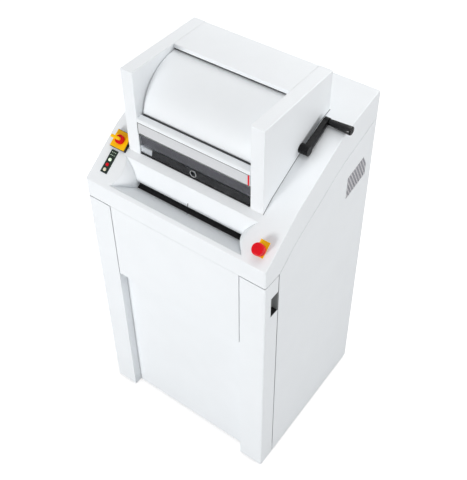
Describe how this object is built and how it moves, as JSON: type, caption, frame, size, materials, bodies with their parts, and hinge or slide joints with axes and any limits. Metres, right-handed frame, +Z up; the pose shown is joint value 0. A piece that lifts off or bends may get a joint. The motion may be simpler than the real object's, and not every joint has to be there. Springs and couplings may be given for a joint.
{
  "type": "industrial paper shredder",
  "caption": "Floor-standing paper shredder: sloping top with a wide feed tray, tower with a hand-cranked feed drum, hinged front door over the bin.",
  "frame": {"origin": "on the floor, under the middle of the cabinet's width and depth", "axes": "+Z up, -Y is the front with the door, +X is the side with the crank"},
  "size_m": [0.7183, 0.624, 1.464],
  "materials": {
    "white_paint": "satin powder coat",
    "drum_paint": "satin powder coat",
    "frame_paint": "grey primer",
    "plated_steel": "zinc plated",
    "label_grey": "printed film",
    "black_plastic": "fine grain",
    "cup_grey": "moulded",
    "bin_grey": "moulded",
    "clear_acrylic": "clear sheet",
    "yellow_plastic": "gloss",
    "red_plastic": "gloss",
    "cream_plastic": "gloss",
    "lit_button": "gloss",
    "bronze": "sintered",
    "cutter_steel": "ground",
    "gear_steel": "machined",
    "motor_cast": "cast",
    "caster_rubber": "smooth"
  },
  "bodies": {
    "cabinet": {"base_pan": "frame_paint", "left_side_panel": "white_paint", "right_side_panel": "white_paint", "rear_panel": "white_paint", "cable_gland": "black_plastic", "frame_posts": "frame_paint", "frame_crossbars": "frame_paint", "upper_front_panel": "white_paint", "door_pivot_brackets": "plated_steel", "door_magnets": "plated_steel", "top_housing": "white_paint", "feed_tray": "white_paint", "tower_left_cheek": "white_paint", "tower_right_cheek": "white_paint", "tower_cover": "white_paint", "tower_front_rail": "white_paint", "label_strip": "label_grey", "drum_bushes": "bronze", "stop_plate": "yellow_plastic", "switch_base": "black_plastic", "switch_plate": "yellow_plastic", "keypad_panel": "black_plastic", "electrical_boxes": "black_plastic", "cutter_frame": "frame_paint", "roller_bearings": "bronze", "stripper_combs": "cutter_steel", "drive_motor": "motor_cast", "paper_chute": "white_paint", "machine_deck": "frame_paint", "waste_bin": "bin_grey"},
    "door": {"door_left_post": "white_paint", "door_panel": "white_paint", "door_right_post": "white_paint", "door_grip_cup": "cup_grey"},
    "feed_drum": {"drum_shell": "drum_paint", "drum_ends": "drum_paint", "crank_arm": "black_plastic", "crank_bolt": "plated_steel"},
    "crank_handle": {"crank_grip": "black_plastic"},
    "window": {"viewing_flap": "clear_acrylic", "flap_pin": "plated_steel"},
    "stop_shaft": {"stop_plunger": "black_plastic"},
    "stop_head": {"stop_mushroom": "red_plastic"},
    "mains_switch": {"switch_knob": "red_plastic", "switch_lever": "yellow_plastic"},
    "reverse_key": {"button_reverse": "cream_plastic"},
    "stop_key": {"button_stop": "red_plastic"},
    "start_key": {"button_start": "lit_button"},
    "front_cutter": {"front_roller": "cutter_steel"},
    "rear_cutter": {"rear_roller": "cutter_steel", "drive_gear": "gear_steel"},
    "pinion": {"motor_pinion": "gear_steel"},
    "caster_swivel_1": {"caster_fork_1": "plated_steel"},
    "caster_roll_1": {"caster_wheel_1": "caster_rubber"},
    "caster_swivel_2": {"caster_fork_2": "plated_steel"},
    "caster_roll_2": {"caster_wheel_2": "caster_rubber"},
    "caster_swivel_3": {"caster_fork_3": "plated_steel"},
    "caster_roll_3": {"caster_wheel_3": "caster_rubber"},
    "caster_swivel_4": {"caster_fork_4": "plated_steel"},
    "caster_roll_4": {"caster_wheel_4": "caster_rubber"}
  },
  "joints": [
    {"name": "door_hinge", "type": "hinge", "parent": "cabinet", "child": "door", "pos_m": [-0.344, -0.241, 0.5], "axis": [0, 0, -1], "range_deg": [0, 105]},
    {"name": "drum_turn", "type": "hinge", "parent": "cabinet", "child": "feed_drum", "pos_m": [0, 0.003, 1.281], "axis": [1, 0, 0], "range_deg": [0, 170]},
    {"name": "grip_spin", "type": "hinge", "parent": "feed_drum", "child": "crank_handle", "pos_m": [0.33, 0.10532, 1.32655], "axis": [1, 0, 0], "continuous": true},
    {"name": "window_swing", "type": "hinge", "parent": "cabinet", "child": "window", "pos_m": [0, -0.183, 1.23715], "axis": [-1, 0, 0], "range_deg": [0, 80]},
    {"name": "stop_push", "type": "slide", "parent": "cabinet", "child": "stop_shaft", "axis": [0, 0.5911, -0.8066], "range_m": [0, 0.004]},
    {"name": "stop_twist", "type": "hinge", "parent": "stop_shaft", "child": "stop_head", "pos_m": [0.304, -0.265, 1.09905], "axis": [0, 0.5911, -0.8066], "range_deg": [0, 30], "stiffness_Nm_per_rad": 0.05},
    {"name": "mains_turn", "type": "hinge", "parent": "cabinet", "child": "mains_switch", "pos_m": [-0.293, -0.178, 1.16281], "axis": [0, 0.5911, -0.8066], "range_deg": [0, 90]},
    {"name": "reverse_press", "type": "slide", "parent": "cabinet", "child": "reverse_key", "axis": [0, 0.5911, -0.8066], "range_m": [0, 0.0015], "stiffness_N_per_m": 400, "springref_m": -0.002},
    {"name": "stop_press", "type": "slide", "parent": "cabinet", "child": "stop_key", "axis": [0, 0.5911, -0.8066], "range_m": [0, 0.0015], "stiffness_N_per_m": 400, "springref_m": -0.002},
    {"name": "start_press", "type": "slide", "parent": "cabinet", "child": "start_key", "axis": [0, 0.5911, -0.8066], "range_m": [0, 0.0015], "stiffness_N_per_m": 400, "springref_m": -0.002},
    {"name": "rear_cutter_spin", "type": "hinge", "parent": "cabinet", "child": "rear_cutter", "pos_m": [0, -0.015, 0.88], "axis": [1, 0, 0], "continuous": true},
    {"name": "front_cutter_spin", "type": "hinge", "parent": "cabinet", "child": "front_cutter", "pos_m": [0, -0.105, 0.88], "axis": [1, 0, 0], "continuous": true},
    {"name": "pinion_spin", "type": "hinge", "parent": "cabinet", "child": "pinion", "pos_m": [0.25, 0.11118, 0.832], "axis": [1, 0, 0], "continuous": true},
    {"name": "caster_1_swivel", "type": "hinge", "parent": "cabinet", "child": "caster_swivel_1", "pos_m": [-0.29, -0.174, 0.06], "axis": [0, 0, 1], "continuous": true},
    {"name": "caster_1_roll", "type": "hinge", "parent": "caster_swivel_1", "child": "caster_roll_1", "pos_m": [-0.29, -0.159, 0.025], "axis": [1, 0, 0], "continuous": true},
    {"name": "caster_2_swivel", "type": "hinge", "parent": "cabinet", "child": "caster_swivel_2", "pos_m": [0.29, -0.174, 0.06], "axis": [0, 0, 1], "continuous": true},
    {"name": "caster_2_roll", "type": "hinge", "parent": "caster_swivel_2", "child": "caster_roll_2", "pos_m": [0.29, -0.159, 0.025], "axis": [1, 0, 0], "continuous": true},
    {"name": "caster_3_swivel", "type": "hinge", "parent": "cabinet", "child": "caster_swivel_3", "pos_m": [-0.29, 0.24, 0.06], "axis": [0, 0, 1], "continuous": true},
    {"name": "caster_3_roll", "type": "hinge", "parent": "caster_swivel_3", "child": "caster_roll_3", "pos_m": [-0.29, 0.255, 0.025], "axis": [1, 0, 0], "continuous": true},
    {"name": "caster_4_swivel", "type": "hinge", "parent": "cabinet", "child": "caster_swivel_4", "pos_m": [0.29, 0.24, 0.06], "axis": [0, 0, 1], "continuous": true},
    {"name": "caster_4_roll", "type": "hinge", "parent": "caster_swivel_4", "child": "caster_roll_4", "pos_m": [0.29, 0.255, 0.025], "axis": [1, 0, 0], "continuous": true}
  ],
  "couplings": [
    {"joint": "front_cutter_spin", "follows": "rear_cutter_spin", "ratio": -1},
    {"joint": "pinion_spin", "follows": "rear_cutter_spin", "ratio": -4.4}
  ]
}
